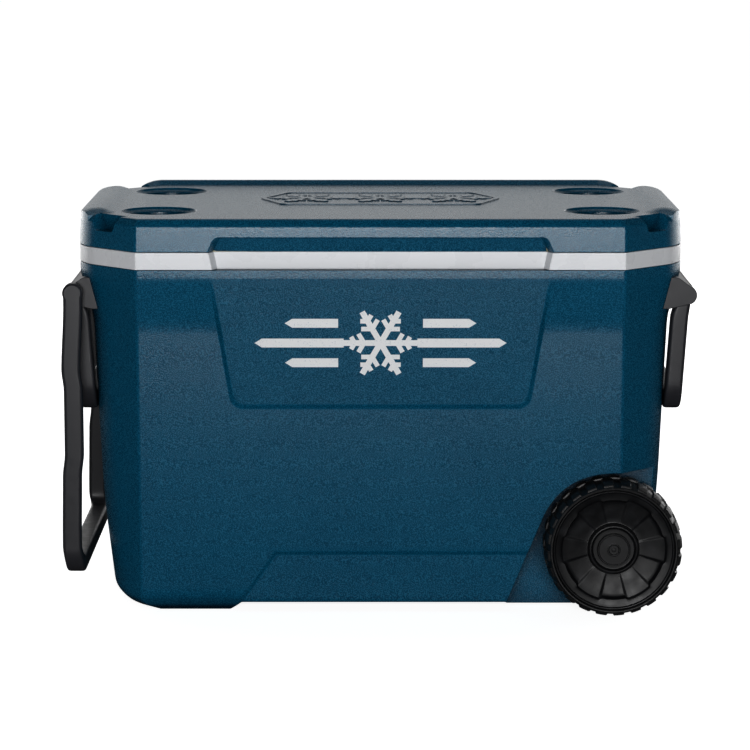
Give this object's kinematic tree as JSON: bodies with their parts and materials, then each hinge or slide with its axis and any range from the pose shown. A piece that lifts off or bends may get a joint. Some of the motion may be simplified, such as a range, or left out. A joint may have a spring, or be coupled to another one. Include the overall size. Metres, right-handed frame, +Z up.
{
  "type": "wheeled cooler",
  "caption": "Insulated hard cooler with a hinged lid, drink recesses, wheels at one end on a through axle, a swinging tow handle and drop-down lifting handles.",
  "frame": {"origin": "centre of the bounding box in plan, on the floor under the feet and tyres", "axes": "+X towards the wheel end, -Y towards the front, +Z up"},
  "size_m": [0.7011, 0.416, 0.445],
  "materials": {
    "shell_blue": "satin",
    "liner_white": "satin",
    "satin_black": "satin",
    "tread_black": "matte",
    "foam": "matte",
    "steel": "satin"
  },
  "bodies": {
    "chest": {"body_shell": "shell_blue", "body_foam": "foam", "body_liner": "liner_white", "drain_spout": "liner_white", "hinge_left_body_leaf": "satin_black", "hinge_left_pin": "steel", "hinge_middle_body_leaf": "satin_black", "hinge_middle_pin": "steel", "hinge_right_body_leaf": "satin_black", "hinge_right_pin": "steel", "body_leaf_screw_1": "steel", "body_leaf_screw_2": "steel", "body_leaf_screw_3": "steel", "body_leaf_screw_4": "steel", "body_leaf_screw_5": "steel", "body_leaf_screw_6": "steel", "bracket_right": "satin_black", "bracket_left": "satin_black", "bracket_right_screw_1": "steel", "bracket_right_screw_2": "steel", "bracket_right_screw_3": "steel", "bracket_left_screw_1": "steel", "bracket_left_screw_2": "steel", "bracket_left_screw_3": "steel", "lift_pin_right_back": "steel", "lift_pin_right_front": "steel", "lift_pin_left_back": "steel", "lift_pin_left_front": "steel", "tow_pin_back": "steel", "tow_pin_front": "steel", "axle": "steel", "axle_back_nut": "steel", "axle_back_washer": "steel", "axle_front_nut": "steel", "axle_front_washer": "steel"},
    "lid": {"lid_shell": "shell_blue", "lid_foam": "foam", "lid_liner": "liner_white", "hinge_left_lid_leaf": "satin_black", "hinge_middle_lid_leaf": "satin_black", "hinge_right_lid_leaf": "satin_black", "lid_leaf_screw_1": "steel", "lid_leaf_screw_2": "steel", "lid_leaf_screw_3": "steel", "lid_leaf_screw_4": "steel", "lid_leaf_screw_5": "steel", "lid_leaf_screw_6": "steel"},
    "drain_cap": {"drain_cap": "satin_black"},
    "lift_right": {"lift_handle_right": "satin_black"},
    "lift_left": {"lift_handle_left": "satin_black"},
    "tow": {"tow_handle": "satin_black"},
    "wheel_front": {"wheel_front_tyre": "tread_black", "wheel_front_disc": "satin_black", "wheel_front_cap": "satin_black"},
    "wheel_back": {"wheel_back_tyre": "tread_black", "wheel_back_disc": "satin_black", "wheel_back_cap": "satin_black"}
  },
  "joints": [
    {"name": "lid_hinge", "type": "hinge", "parent": "chest", "child": "lid", "pos_m": [0.002, 0.203, 0.391], "axis": [-1, 0, 0], "range_deg": [0, 100]},
    {"name": "tow_swing", "type": "hinge", "parent": "chest", "child": "tow", "pos_m": [-0.3355, -0.005, 0.3545], "axis": [0, 1, 0], "range_deg": [0, 150]},
    {"name": "lift_left_swing", "type": "hinge", "parent": "chest", "child": "lift_left", "pos_m": [-0.3335, -0.005, 0.35], "axis": [0, 1, 0], "range_deg": [0, 95]},
    {"name": "lift_right_swing", "type": "hinge", "parent": "chest", "child": "lift_right", "pos_m": [0.3375, -0.005, 0.35], "axis": [0, -1, 0], "range_deg": [0, 95]},
    {"name": "wheel_front_roll", "type": "hinge", "parent": "chest", "child": "wheel_front", "pos_m": [0.258, -0.178, 0.076], "axis": [0, 1, 0], "continuous": true},
    {"name": "wheel_back_roll", "type": "hinge", "parent": "chest", "child": "wheel_back", "pos_m": [0.258, 0.168, 0.076], "axis": [0, 1, 0], "continuous": true},
    {"name": "drain_cap_turn", "type": "hinge", "parent": "chest", "child": "drain_cap", "pos_m": [-0.3, -0.005, 0.052], "axis": [-1, 0, 0], "continuous": true}
  ]
}
